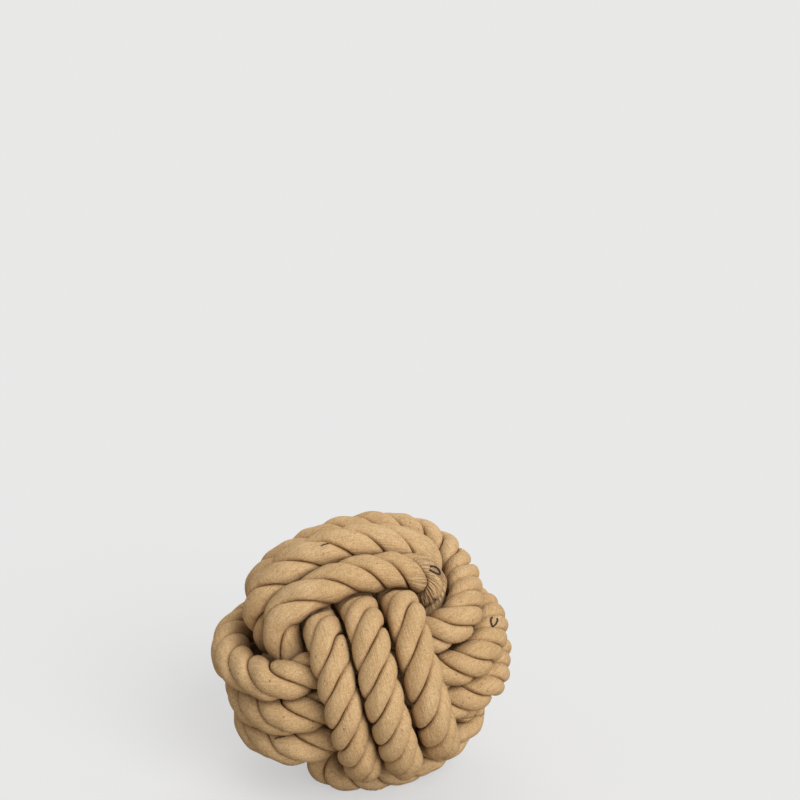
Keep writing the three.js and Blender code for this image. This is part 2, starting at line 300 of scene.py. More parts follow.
def rope_points(winding, angles):
    """Centres of the rope at angles along a winding.

    The rope lies on an inner sphere and rises to an outer one over each end of the long axis. Across the
    bundle it steps from turn to turn, and each outer pass swells outwards and sideways by its own shares of
    the diameter.
    """
    w = WINDINGS[winding]
    angles = np.asarray(angles, float)
    passes = np.clip(np.floor(angles / HALF_TURN + 0.5), 0, LAST_PASS).astype(int)
    shares = np.array([PASS_SHARES[w["faces"][k % 2]][k // 2] for k in range(LAST_PASS + 1)], float)
    shifts = np.array([PASS_SHIFT[face] for face in w["faces"]], float)
    outward, sideways = shares[passes].T
    off = np.abs((angles - shifts[passes % 2] + HALF_TURN / 2) % HALF_TURN - HALF_TURN / 2)
    rise = 1 - smooth((off - RISE_END) / (DIVE_END - RISE_END))
    swell = np.where(off < SWELL_END, np.cos(np.pi / 2 * off / SWELL_END) ** 2, 0)
    middles = (STEP_MIDDLE, STEP_MIDDLE + FULL_TURN)
    stepped = sum(smooth((angles - m - w["offset"] + STEP_REACH) / (2 * STEP_REACH)) for m in middles) - 1
    drifting = (angles - STEP_MIDDLE - HALF_TURN) / FULL_TURN
    radius = lerp(INNER_RADIUS, OUTER_RADIUS, rise) + outward * SOLID_DIAMETER * swell
    width = lerp(stepped, drifting, w["drift"]) * TURN_SPACING + sideways * SOLID_DIAMETER * swell
    reach = np.sqrt(radius ** 2 - width ** 2)
    turn = np.radians(angles)
    return (np.outer(reach * np.cos(turn), w["long"]) + np.outer(reach * np.sin(turn), w["short"])
            + np.outer(width, w["side"]))


def stretch(winding, start, end):
    """Centres of the rope in even steps between two angles of a winding."""
    steps = round((end - start) / ROUTE_STEP_ANGLE)
    return rope_points(winding, np.linspace(start, end, steps + 1))


def crossover(before, after):
    """Cubic Bezier curve from one winding's last crest to the next one's first crest."""
    def heading(winding, angle):
        ahead, behind = rope_points(winding, [angle + HEADING_STEP_ANGLE, angle - HEADING_STEP_ANGLE])
        return unit(ahead - behind)

    reach = CROSSOVER_REACH_SHARE * SOLID_DIAMETER
    leave, arrive = LAST_CREST - LOOP_STEP, LOOP_STEP
    a, d = rope_points(before, [leave])[0], rope_points(after, [arrive])[0]
    b, c = a + reach * heading(before, leave), d - reach * heading(after, arrive)
    t = np.linspace(0, 1, CROSSOVER_SAMPLES)[1:-1, None]
    return (1 - t) ** 3 * a + 3 * (1 - t) ** 2 * t * b + 3 * (1 - t) * t ** 2 * c + t ** 3 * d


def leaning(points):
    """Points of the upright ball, leant to its right about the Y axis, pressed and moved to its place."""
    c, s = math.cos(LEAN_ANGLE), math.sin(LEAN_ANGLE)
    x, y, z = points.T
    return np.stack([c * x - s * z, y, (s * x + c * z) * PRESS_SHARE], 1) + BALL_CENTRE


def lengths_along(points):
    """Length of a path up to each of its points."""
    return np.concatenate([[0], np.cumsum(np.linalg.norm(np.diff(points, axis=0), axis=1))])


class Rope:
    """The whole rope's centre line in even steps, with a frame turned outwards and the angle of its lay."""

    def __init__(self, lay_length):
        leave, arrive = LAST_CREST - LOOP_STEP, LOOP_STEP
        start, finish = -HIDDEN_CUT, LAST_CREST + HIDDEN_CUT
        tail = TAIL_STEPS * LOOP_STEP
        parts = [
            ("start_tail", stretch("first", start, start + tail)),
            ("first_winding", np.concatenate([
                stretch("first", start + tail, leave), crossover("first", "second"),
                stretch("second", arrive, HIDDEN_CUT)])),
            ("second_winding", np.concatenate([
                stretch("second", HIDDEN_CUT, leave), crossover("second", "third"),
                stretch("third", arrive, HIDDEN_CUT)])),
            ("third_winding", stretch("third", HIDDEN_CUT, finish - tail)),
            ("finish_tail", stretch("third", finish - tail, finish)),
        ]
        joined = np.concatenate([points[min(k, 1):] for k, (_, points) in enumerate(parts)])
        route = leaning(joined)
        along = lengths_along(route)
        counts = np.cumsum([len(points) - (k > 0) for k, (_, points) in enumerate(parts)]) - 1
        marks = along[np.concatenate([[0], counts])]
        self.length = float(along[-1])
        self.spans = {name: (marks[k], marks[k + 1]) for k, (name, _) in enumerate(parts)}
        self.along = np.linspace(0, self.length, round(self.length / RING_STEP) + 1)
        self.centre = np.stack([np.interp(self.along, along, route[:, k]) for k in range(3)], 1)
        self.heading = unit(np.gradient(self.centre, self.along, axis=0))
        radial = self.centre - BALL_CENTRE
        across = np.sum(radial * self.heading, 1, keepdims=True) * self.heading
        self.out = unit(radial - across)
        self.side = np.cross(self.heading, self.out)
        turning = np.sum(np.diff(self.out, axis=0) * (self.side[1:] + self.side[:-1]) / 2, 1)
        self.turned = np.concatenate([[0], np.cumsum(turning)])
        self.phase = self.laid(lay_length)
        self.lay = self.phase + self.turned

    def laid(self, lay_length):
        """Angle from the outward side to a strand's middle: cubic between the places of TURN_LAYS.

        Past them the lay is even. Each place takes the count of whole strands that comes closest to an even
        lay from the place before it.
        """
        places = np.array([self.place_at(winding, angle) for winding, angle, _, _ in TURN_LAYS])
        rates = 2 * np.pi / np.array([length for _, _, length, _ in TURN_LAYS]) * DEFAULT_LAY / lay_length
        given = np.radians([turn for *_, turn in TURN_LAYS])
        expected = np.concatenate([[0], np.cumsum(np.diff(places) * (rates[1:] + rates[:-1]) / 2)])
        strand = 2 * np.pi / STRANDS
        angles = given + strand * np.round((expected - given) / strand)
        k = np.clip(np.searchsorted(places, self.along) - 1, 0, len(places) - 2)
        span = places[k + 1] - places[k]
        t = np.clip((self.along - places[k]) / span, 0, 1)
        past = self.along - np.clip(self.along, places[0], places[-1])
        curve = ((1 + 2 * t) * (1 - t) ** 2 * angles[k] + t * (1 - t) ** 2 * span * rates[k]
                 + t * t * (3 - 2 * t) * angles[k + 1] - t * t * (1 - t) * span * rates[k + 1])
        return curve + past * np.where(past < 0, rates[0], rates[-1])

    def at(self, place, values):
        """A value kept for each step, between the steps."""
        return np.stack([np.interp(place, self.along, column) for column in values.T], -1)

    def place_at(self, winding, angle):
        """How far along the rope an angle of a winding lies: where its centre line passes closest."""
        point = leaning(rope_points(winding, [angle]))
        return float(self.along[np.argmin(np.linalg.norm(self.centre - point, axis=1))])


def spread(turns):
    """Angles round the rope, drawn together on its outward and inward sides where it bends: a + s sin 2a."""
    return turns + OUTWARD_SPREAD * np.sin(2 * turns)


def strand_outline(turn, sizes):
    """Distance from the rope's middle to its outline at an angle from the nearest strand's middle.

    Each strand is an ellipse whose middle lies on a circle, and a narrow crevice parts it from the next one.
    """
    high, wide = sizes.strand_height / 2, sizes.strand_width / 2
    middle = sizes.rope_width / 2 - high
    a = (np.cos(turn) / high) ** 2 + (np.sin(turn) / wide) ** 2
    b = -2 * middle * np.cos(turn) / high ** 2
    c = (middle / high) ** 2 - 1
    radius = (np.sqrt(b * b - 4 * a * c) - b) / (2 * a)
    from_crease = np.pi / STRANDS - np.abs(turn)
    return radius - sizes.crevice_depth * np.exp(-(from_crease / sizes.crevice_angle) ** 2)


def soft_least(a, b, softness):
    """The lesser of two values, rounded off where they are close."""
    return np.minimum(a, b) - np.maximum(softness - np.abs(a - b), 0) ** 2 / (4 * softness)


def waves(points, size):
    """Gentle uneven field: the sum of sine waves in seeded directions over the root of their number."""
    random = np.random.default_rng(UNEVEN_SEED)
    directions = unit(random.normal(size=(UNEVEN_WAVES, 3))) * (2 * np.pi / size)
    directions = directions * random.uniform(*UNEVEN_PITCHES, (UNEVEN_WAVES, 1))
    starts = random.uniform(0, 2 * np.pi, UNEVEN_WAVES)
    return np.sin(points @ directions.T + starts).sum(-1) / math.sqrt(UNEVEN_WAVES)


def ray_limit(facing, room, least):
    """How far a ray goes to a plane: the room before it over how squarely the ray faces it."""
    return np.where(facing > least, room / np.maximum(facing, least), NO_CONTACT)


def squeezed(rope, places, centre, rays, radius):
    """Radius of the rope where it presses on other turns, on the core and on the floor.

    A ray from the centre line stops at the plane halfway to each centre point of another turn, at the core
    and at the floor, so soft turns flatten against each other and nothing overlaps.
    """
    others = rope.centre[::NEIGHBOUR_STEPS]
    apart = others[None] - centre[:, None]
    distance = np.linalg.norm(apart, axis=2)
    along = np.abs(rope.along[::NEIGHBOUR_STEPS][None] - places[:, None])
    distance[along < NEIGHBOUR_APART_SHARE * SOLID_DIAMETER] = np.inf
    nearest = np.argpartition(distance, NEIGHBOURS, axis=1)[:, :NEIGHBOURS]
    rows = np.arange(len(places))
    for k in range(NEIGHBOURS):
        gap = distance[rows, nearest[:, k]]
        normal = apart[rows, nearest[:, k]] / gap[:, None]
        facing = np.einsum("rcx,rx->rc", rays, normal)
        limit = ray_limit(facing, (gap[:, None] - CONTACT_GAP) / 2, CONTACT_FACING)
        radius = soft_least(radius, limit, CONTACT_SOFTNESS)
    outward = (centre - BALL_CENTRE) / CORE_PRESS
    height = np.linalg.norm(outward, axis=1)
    facing = -np.einsum("rcx,rx->rc", rays / CORE_PRESS, outward / height[:, None])
    limit = ray_limit(facing, (height - CORE_RADIUS - CONTACT_GAP)[:, None], CONTACT_FACING)
    radius = soft_least(radius, limit, CONTACT_SOFTNESS)
    return np.minimum(radius, ray_limit(-rays[:, :, 2], centre[:, 2:], FLOOR_FACING))


def tail_share(rope, places, sizes):
    """Share of the full radius: a tucked end is drawn in under its whipping."""
    depth = WHIPPING_LENGTH + 2 * WHIPPING_SETBACK
    from_end = np.minimum(places, rope.length - places)
    return lerp(WHIPPED_RADIUS / (sizes.rope_width / 2), 1, smooth((from_end - depth) / depth))


def rope_surface(rope, places, turns, sizes):
    """Centres, rays and radius of the laid rope at places along it and, in each row, at turns about it.

    The radius is the outline of three strands, turned with the lay, made uneven by gentle waves, drawn in at
    the tucked ends and under the stitches, and then squeezed by what lies next to it.
    """
    centre = rope.at(places, rope.centre)
    wide = spread(turns)[..., None]
    rays = (rope.at(places, rope.out)[:, None] * np.cos(wide)
            + rope.at(places, rope.side)[:, None] * np.sin(wide))
    strand = 2 * np.pi / STRANDS
    local = (turns - rope.at(places, rope.phase[:, None]) + strand / 2) % strand - strand / 2
    radius = strand_outline(local, sizes) * tail_share(rope, places, sizes)[:, None]
    rough = centre[:, None] + rays * radius[..., None]
    radius = radius + sizes.unevenness * waves(rough, sizes.uneven_size)
    for stitch in STITCHES.values():
        aside = (places - rope.place_at(stitch["winding"], stitch["angle"]))[:, None]
        round_rope = (turns - stitch["turn"] + np.pi) % (2 * np.pi) - np.pi
        off = (aside / stitch["length"]) ** 2 + (round_rope / stitch["reach"] / 2) ** 2
        radius = radius - STITCH_PULL * np.exp(-off)
    return centre, rays, squeezed(rope, places, centre, rays, radius)


def laid_rope(rope, start, end, sizes):
    """Points, faces and attributes of laid rope between two places along it.

    The surface is a grid of centre plus ray times radius: rings across the rope, and columns that follow the
    strands, closer at their creases. The first and the last ring lie at the cuts.
    """
    between = (rope.along > start + RING_STEP / 2) & (rope.along < end - RING_STEP / 2)
    places = np.concatenate([[start + SEAM_GAP], rope.along[between], [end - SEAM_GAP]])
    t = np.linspace(-1, 1, STRAND_COLUMNS, endpoint=False)
    one = np.pi / STRANDS * t * (1 + CROWDING_SHARE * (1 - t * t))
    material = np.concatenate([one + 2 * np.pi * k / STRANDS for k in range(STRANDS)])
    turns = material[None] + rope.at(places, rope.phase[:, None])
    centre, rays, radius = rope_surface(rope, places, turns, sizes)
    points = centre[:, None] + rays * radius[..., None]
    fixed = material[None] + rope.at(places, rope.lay[:, None])
    yarn = np.stack([np.cos(fixed) * sizes.rope_width / 2, np.sin(fixed) * sizes.rope_width / 2,
                     np.broadcast_to(places[:, None], fixed.shape)], -1)
    # Painted shade: dark in the creases between the strands and towards the gaps between the turns, kept as an
    # attribute of the points
    from_crease = np.pi / STRANDS - np.abs(np.tile(one, STRANDS))
    crease = np.exp(-(from_crease / (CREASE_SHADE_SHARE * sizes.crevice_angle)) ** 2)
    # Painted shade towards the gaps between the turns, where the rope faces away from outwards
    gap = GAP_SHADE * smooth((GAP_FACING - np.cos(spread(turns))) / GAP_REACH)
    worn_place = rope.place_at(WORN_WINDING, WORN_ANGLE)
    worn = WORN_MOST * np.exp(-((places - worn_place) / WORN_REACH) ** 2)
    values = {
        "yarn": np.concatenate([yarn.reshape(-1, 3), yarn[[0, -1], 0]]),
        "crease": np.concatenate([(1 - (1 - crease) * (1 - gap)).ravel(), [0, 0]]),
        "worn": np.concatenate([np.repeat(worn, len(material)), worn[[0, -1]]]),
    }
    faces, caps = tube_faces(len(places), len(material))
    return np.concatenate([points.reshape(-1, 3), centre[[0, -1]]]), faces, caps, values


def tube(path, outward, radius, sides):
    """Round tube along a path: each point plus the radius times (outward cos + across sin) of even turns.

    The radius may be a number or differ by point and turn. The last two points are the middles of its ends.
    """
    heading = unit(np.gradient(path, axis=0))
    outward = unit(outward - np.sum(outward * heading, 1, keepdims=True) * heading)
    across = np.cross(heading, outward)
    turns = np.linspace(0, 2 * np.pi, sides, endpoint=False)
    rays = outward[:, None] * np.cos(turns)[:, None] + across[:, None] * np.sin(turns)[:, None]
    rings = path[:, None] + rays * np.broadcast_to(radius, rays.shape[:2])[..., None]
    faces, caps = tube_faces(len(path), sides)
    return np.concatenate([rings.reshape(-1, 3), path[[0, -1]]]), faces, caps


def twine_coil(rope, end):
    """Whipping: a tube of twine on a helix of even pitch round a rope end, laid turn against turn."""
    t = np.linspace(0, 1, TWINE_TURNS * TWINE_STEPS + 1)
    half = WHIPPING_THICKNESS / 2
    depth = WHIPPING_SETBACK + half + (WHIPPING_LENGTH - 2 * half) * t
    places = depth if end == "start" else rope.length - depth
    turns = 2 * np.pi * TWINE_TURNS * t[:, None]
    rays = rope.at(places, rope.out) * np.cos(turns) + rope.at(places, rope.side) * np.sin(turns)
    path = rope.at(places, rope.centre) + rays * (WHIPPED_RADIUS + PIECE_GAP + half)
    return tube(path, rays, half, TWINE_SIDES)


def thread_loop(rope, stitch, sizes):
    """Sewn stitch: two-ply thread on an open oval on the rope's surface, its ends sunk into the strands.

    The oval runs along the rope by a cosine and round it by a sine. The thread's radius follows the cosine of
    the angle from its plies, which turn evenly.
    """
    s = np.linspace(0, 1, STITCH_STEPS + 1)
    turn = STITCH_OPENING + (2 * np.pi - 2 * STITCH_OPENING) * s
    middle = rope.place_at(stitch["winding"], stitch["angle"])
    places = middle - stitch["length"] / 2 * np.cos(turn)
    round_rope = stitch["turn"] + stitch["reach"] * np.sin(turn)
    centre, rays, radius = rope_surface(rope, places, round_rope[:, None], sizes)
    shares = np.hanning(STITCH_SPAN)
    padded = np.pad(radius[:, 0], STITCH_SPAN // 2, "edge")
    radius = np.convolve(padded, shares / shares.sum(), "valid")[:, None]
    half = THREAD_DIAMETER / 2
    sunk = 1 - smooth(np.minimum(s, 1 - s) / STITCH_SINK_SHARE)
    lift = half * (1 - STITCH_SINK * sunk)
    path = centre + rays[:, 0] * (radius + lift[:, None])
    sides = np.linspace(0, 2 * np.pi, TWINE_SIDES, endpoint=False)
    ply = np.abs(np.cos(sides[None] - np.pi * PLY_TURNS * s[:, None]))
    return tube(path, rays[:, 0], half * lerp(PLY_WAIST, 1, ply), TWINE_SIDES)


def stray_fibre(rope, fibre, sizes):
    """Dark fibre on a slanting line with one sine wave, on the rope's surface.

    Its ends sink into the felt by the fourth power of the way from its middle.
    """
    s = np.linspace(-1, 1, FIBRE_STEPS + 1)
    ahead = fibre["length"] / 2 * s
    aside = FIBRE_WAVE * np.sin(2 * np.pi * s)
    cos, sin = math.cos(fibre["slant"]), math.sin(fibre["slant"])
    places = rope.place_at(fibre["winding"], fibre["angle"]) + ahead * cos - aside * sin
    turns = fibre["turn"] + (ahead * sin + aside * cos) / (sizes.rope_width / 2)
    centre, rays, radius = rope_surface(rope, places, turns[:, None], sizes)
    half = FIBRE_DIAMETER / 2
    path = centre + rays[:, 0] * (radius + half * (1 - FIBRE_SINK * s[:, None] ** 4))
    return tube(path, rays[:, 0], half, TWINE_SIDES)


def wound_ball():
    """Core: a pressed ball whose radius is that of bands of yarn laid over each other.

    Each band is a belt round a great circle, with a ridge for each turn of yarn: the size of a sine.
    """
    random = np.random.default_rng(CORE_SEED)
    polar = np.linspace(0, np.pi, CORE_ROWS + 2)[1:-1, None]
    round_axis = np.linspace(0, 2 * np.pi, CORE_COLUMNS, endpoint=False)[None]
    normal = np.stack([np.sin(polar) * np.cos(round_axis), np.sin(polar) * np.sin(round_axis),
                       np.broadcast_to(np.cos(polar), (CORE_ROWS, CORE_COLUMNS))], -1)
    poles = np.array([[0, 0, 1.0], [0, 0, -1.0]])
    normal = np.concatenate([normal.reshape(-1, 3), poles])
    relief = np.full(len(normal), -CORE_BAND_DEPTH)
    for axis in unit(random.normal(size=(CORE_BANDS, 3))):
        aside = normal @ axis
        ridge = np.abs(np.sin(np.pi * aside * CORE_RADIUS / CORE_YARN_WIDTH))
        belt = smooth((CORE_BAND_SHARE - np.abs(aside)) * CORE_RADIUS / CORE_YARN_WIDTH)
        raised = (ridge - 1) * CORE_YARN_DEPTH
        relief = lerp(relief, raised, belt)
    points = normal * (CORE_RADIUS + relief)[:, None] * CORE_PRESS + BALL_CENTRE
    walls, caps = tube_faces(CORE_ROWS, CORE_COLUMNS)
    return points, walls[:, ::-1], caps[:, ::-1]


def tube_faces(rings, columns):
    """Quads of a closed tube's wall, and triangles of its two ends, whose middles are the last two points."""
    i, j = np.meshgrid(np.arange(rings - 1), np.arange(columns), indexing="ij")
    a, b = i * columns + j, i * columns + (j + 1) % columns
    walls = np.stack([a, b, b + columns, a + columns], -1).reshape(-1, 4)
    j = np.arange(columns)
    following = (j + 1) % columns
    last = (rings - 1) * columns
    first_middle, last_middle = rings * columns, rings * columns + 1
    near = np.stack([following, j, np.full(columns, first_middle)], -1)
    far = np.stack([last + j, last + following, np.full(columns, last_middle)], -1)
    return walls, np.concatenate([near, far])


def add_piece(name, surface, material, nodes, values=None):
    """New mesh object from a surface's points, faces and flat end caps, riding on the ball.

    It stands for its nodes, and carries its values as attributes of its points.
    """
    points, faces, caps = surface
    mesh = bpy.data.meshes.new(name)
    mesh.from_pydata(points.tolist(), [], faces.tolist() + caps.tolist())
    mesh.polygons.foreach_set("use_smooth", np.arange(len(mesh.polygons)) < len(faces))
    for key, data in (values or {}).items():
        kind, part = ("FLOAT_VECTOR", "vector") if data.ndim == 2 else ("FLOAT", "value")
        mesh.attributes.new(key, kind, "POINT").data.foreach_set(part, data.ravel())
    mesh.update()
    mesh.materials.append(material)
    piece = bpy.data.objects.new(name, mesh)
    bpy.context.scene.collection.objects.link(piece)
    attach(piece, BODY)
    if nodes:
        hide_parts(*nodes)


class NodeTree:
    """Short calls for building a material or a node group."""

    def __init__(self, tree):
        self.tree = tree

    def add(self, kind, inputs=None, **settings):
        """A new node with its settings, and with values or sockets put into its inputs."""
        node = self.tree.nodes.new(kind)
        for key, value in settings.items():
            setattr(node, key, value)
        for key, value in (inputs or {}).items():
            self.put(node.inputs[key], value)
        return node

    def put(self, socket, value):
        """Link a socket to an input, or set the input's own value."""
        if isinstance(value, bpy.types.NodeSocket):
            self.tree.links.new(value, socket)
        else:
            socket.default_value = value

    def math(self, operation, *values):
        """The result of one operation on one or more values."""
        return self.add("ShaderNodeMath", dict(enumerate(values)), operation=operation).outputs[0]

    def span(self, value, low, high, to_low=0.0, to_high=1.0):
        """A value that goes smoothly from one level to another while the given one goes from low to high."""
        node = self.add("ShaderNodeMapRange", {"Value": value, "From Min": low, "From Max": high,
                                               "To Min": to_low, "To Max": to_high},
                        interpolation_type="SMOOTHSTEP")
        return node.outputs["Result"]

    def mix(self, share, a, b):
        """A share of colour b over colour a."""
        node = self.add("ShaderNodeMix", {"Factor": share}, data_type="RGBA")
        for name, value in (("A", a), ("B", b)):
            self.put(next(s for s in node.inputs if s.name == name and s.type == "RGBA"), value)
        return next(s for s in node.outputs if s.type == "RGBA")

    def noise(self, vector, scale, detail, roughness):
        """Uneven field between 0 and 1."""
        node = self.add("ShaderNodeTexNoise", {"Vector": vector, "Scale": scale, "Detail": detail,
                                               "Roughness": roughness})
        return node.outputs["Fac"]

    def stretched(self, vector, width, length):
        """A vector in widths across the yarn and lengths along it."""
        across, along = self.math("DIVIDE", 1.0, width), self.math("DIVIDE", 1.0, length)
        scale = self.add("ShaderNodeCombineXYZ", {"X": across, "Y": across, "Z": along}).outputs[0]
        node = self.add("ShaderNodeVectorMath", {0: vector, 1: scale}, operation="MULTIPLY")
        return node.outputs["Vector"]


def cotton_group():
    """Felted cotton: fine yarn along the thread under uneven felt, with seed flecks, and a height for bump.

    Where Worn is 1 the felt is gone and coarse yarn shows, darkened between its ridges partly by painted shade.
    """
    tree = bpy.data.node_groups.new("felted_cotton", "ShaderNodeTree")
    face = tree.interface
    face.new_socket("Yarn", in_out="INPUT", socket_type="NodeSocketVector")
    face.new_socket("Place", in_out="INPUT", socket_type="NodeSocketVector")
    for name, value in (("Streak Width", 0.0008), ("Streak Length", 0.009), ("Streak Depth", 1.1),
                        ("Coarse Width", 0.0014), ("Fleck Share", 0.3), ("Worn", 0.0)):
        socket = face.new_socket(name, in_out="INPUT", socket_type="NodeSocketFloat")
        socket.default_value = value
    for name in ("Colour", "Thin", "Pale", "Fleck", "Seed"):
        socket = face.new_socket(name, in_out="INPUT", socket_type="NodeSocketColor")
        socket.default_value = (0.5, 0.35, 0.18, 1)
    face.new_socket("Colour", in_out="OUTPUT", socket_type="NodeSocketColor")
    face.new_socket("Roughness", in_out="OUTPUT", socket_type="NodeSocketFloat")
    face.new_socket("Height", in_out="OUTPUT", socket_type="NodeSocketFloat")
    n = NodeTree(tree)
    given = n.add("NodeGroupInput").outputs
    yarn, place = given["Yarn"], given["Place"]
    field = {}
    for name, width in (("streaks", "Streak Width"), ("coarse", "Coarse Width")):
        field[name] = n.noise(n.stretched(yarn, given[width], given["Streak Length"]), *YARN_NOISE[name])
    for name, settings in COTTON_NOISE.items():
        field[name] = n.noise(place, *settings)
    felt = n.math("ADD", n.math("MULTIPLY", field["tufts"], TUFT_HEIGHT),
                  n.math("MULTIPLY", field["grain"], GRAIN_HEIGHT))
    covered = n.math("ADD", n.math("MULTIPLY", field["streaks"], given["Streak Depth"]), felt)
    ridges = n.math("MULTIPLY", n.span(field["coarse"], *COARSE_RIDGES), given["Worn"])
    colour = given["Colour"]
    for name, low, high, most, tint in COTTON_TINTS:
        colour = n.mix(n.span(field[name], low, high, 0.0, most), colour, given[tint])
    # Dark between the coarse ridges: partly painted shade in the grooves, partly the bare yarn's darker colour
    between = n.math("MULTIPLY", n.span(field["coarse"], *COARSE_GAPS), given["Worn"])
    colour = n.mix(n.math("MULTIPLY", between, COARSE_SHADE), colour, given["Fleck"])
    spots = n.add("ShaderNodeTexVoronoi", {"Vector": place, "Scale": FLECK_SCALE, "Randomness": 1.0})
    chosen = n.add("ShaderNodeSeparateColor", {"Color": spots.outputs["Color"]}).outputs
    ragged = n.math("ADD", spots.outputs["Distance"], n.math("MULTIPLY", field["grain"], FLECK_RIM))
    present = n.math("LESS_THAN", chosen["Red"], given["Fleck Share"])
    fleck = n.math("MULTIPLY", n.span(ragged, *FLECK_SIZE), present)
    hue = n.mix(n.math("GREATER_THAN", chosen["Green"], SEED_CHANCE), given["Fleck"], given["Seed"])
    colour = n.mix(n.math("MULTIPLY", fleck, FLECK_SHADE), colour, hue)
    n.add("NodeGroupOutput", {"Colour": colour, "Roughness": n.span(field["tufts"], *COTTON_ROUGHNESS),
                              "Height": n.math("ADD", covered, ridges)})
    return tree


def new_material(name):
    """An empty material, and its tree."""
    material = bpy.data.materials.new(name)
    material.use_nodes = True
    material.node_tree.nodes.clear()
    return material, NodeTree(material.node_tree)


def cotton_material(name, colours, laid=False, bump=0.0008):
    """A cotton finish: the felted cotton group on one shader, with painted shade in the creases and towards the
    gaps between the turns on laid rope.
    """
    found = bpy.data.materials.get(name)
    if found:
        return found
    material, n = new_material(name)
    place = n.add("ShaderNodeTexCoord").outputs["Object"]
    group = bpy.data.node_groups.get("felted_cotton") or cotton_group()
    felted = n.add("ShaderNodeGroup", node_tree=group)
    yarn = n.add("ShaderNodeAttribute", attribute_name="yarn").outputs["Vector"] if laid else place
    given = {"Yarn": yarn, "Place": place, **colours}
    if laid:
        given["Worn"] = n.add("ShaderNodeAttribute", attribute_name="worn").outputs["Fac"]
    for key, value in given.items():
        n.put(felted.inputs[key], value)
    colour = felted.outputs["Colour"]
    if laid:
        # Painted shade in the creases and towards the gaps between the turns, from the attribute of the points
        depth = n.add("ShaderNodeAttribute", attribute_name="crease").outputs["Fac"]
        colour = n.mix(n.math("MULTIPLY", depth, CREASE_SHADE), colour, CREASE_SHADE_COLOUR)
    relief = n.add("ShaderNodeBump", {"Strength": 0.8, "Distance": bump,
                                      "Height": felted.outputs["Height"]})
    shader = n.add("ShaderNodeBsdfPrincipled", {
        "Base Color": colour, "Roughness": felted.outputs["Roughness"],
        "Normal": relief.outputs["Normal"], "Specular IOR Level": 0.05, "Sheen Weight": 0.06,
        "Sheen Roughness": 0.5, "Sheen Tint": (0.9, 0.7, 0.45, 1)})
    n.add("ShaderNodeOutputMaterial", {"Surface": shader.outputs["BSDF"]})
    return material


def rope_material(colours):
    """Natural cotton of the rope, one finish for all its windings."""
    return cotton_material("natural_cotton", {"Colour": colours.cotton, "Thin": colours.cotton_dark,
                                              "Pale": colours.cotton_pale, "Fleck": colours.fleck,
                                              "Seed": colours.seed}, laid=True)


def core_material(colours):
    """Yarn of the core: the rope's cotton, darker and without its pale felt."""
    return cotton_material("core_yarn", {"Colour": colours.core, "Thin": colours.cotton_dark,
                                         "Pale": colours.cotton, "Fleck": colours.fleck,
                                         "Seed": colours.seed})


def twine_material(colours):
    """Thin twine of the whippings, smoother than the rope."""
    return cotton_material("whipping_twine", {"Colour": colours.twine, "Thin": colours.cotton,
                                              "Pale": colours.cotton_pale, "Fleck": colours.cotton_dark,
                                              "Seed": colours.seed}, bump=0.0003)


def thread_material(colours):
    """Dark waxed thread: worn paler on its high fibres, with a dull gloss."""
    material, n = new_material("waxed_thread")
    place = n.add("ShaderNodeTexCoord").outputs["Object"]
    fibres = n.noise(place, *THREAD_NOISE)
    colour = n.mix(n.span(fibres, *THREAD_WEAR), colours.thread, colours.thread_worn)
    relief = n.add("ShaderNodeBump", {"Strength": 0.6, "Distance": 0.0002, "Height": fibres})
    shader = n.add("ShaderNodeBsdfPrincipled", {
        "Base Color": colour, "Roughness": n.span(fibres, *THREAD_ROUGHNESS),
        "Normal": relief.outputs["Normal"], "Specular IOR Level": 0.3})
    n.add("ShaderNodeOutputMaterial", {"Surface": shader.outputs["BSDF"]})
    return material


class RopeBallSizes(bpy.types.PropertyGroup):
    """Sizes of the rope's finish. The route of the rope is the solids' own."""

    rope_width: bpy.props.FloatProperty(
        name="Rope width", description="Width of the rope where nothing presses on it",
        default=0.0231, min=0.02, max=0.025, unit="LENGTH")
    lay_length: bpy.props.FloatProperty(
        name="Lay length", description="Mean length of rope in which a strand goes round once",
        default=DEFAULT_LAY, min=0.035, max=0.09, unit="LENGTH")
    strand_height: bpy.props.FloatProperty(
        name="Strand height", description="Thickness of a strand, across the rope",
        default=0.0126, min=0.008, max=0.014, unit="LENGTH")
    strand_width: bpy.props.FloatProperty(
        name="Strand width", description="Width of a strand, round the rope",
        default=0.0149, min=0.01, max=0.018, unit="LENGTH")
    crevice_depth: bpy.props.FloatProperty(
        name="Crevice depth", description="Depth of the narrow crevice between two strands",
        default=0.0022, min=0, max=0.003, unit="LENGTH")
    crevice_angle: bpy.props.FloatProperty(
        name="Crevice angle", description="How wide the crevice between two strands is, round the rope",
        default=math.radians(5), min=math.radians(1), max=math.radians(15), subtype="ANGLE")
    unevenness: bpy.props.FloatProperty(
        name="Unevenness", description="How far the soft strands swell and shrink along the rope",
        default=0.0004, min=0, max=0.001, unit="LENGTH")
    uneven_size: bpy.props.FloatProperty(
        name="Uneven size", description="Distance over which the strands swell and shrink",
        default=0.02, min=0.005, max=0.1, unit="LENGTH")
    floor_radius: bpy.props.FloatProperty(
        name="Floor radius", description="How far the floor reaches round the ball",
        default=14, min=1, max=50, unit="LENGTH")


def colour_property(name, description, default):
    """An opaque colour in the panel."""
    return bpy.props.FloatVectorProperty(name=name, description=description, default=(*default, 1),
                                         size=4, min=0, max=1, subtype="COLOR")


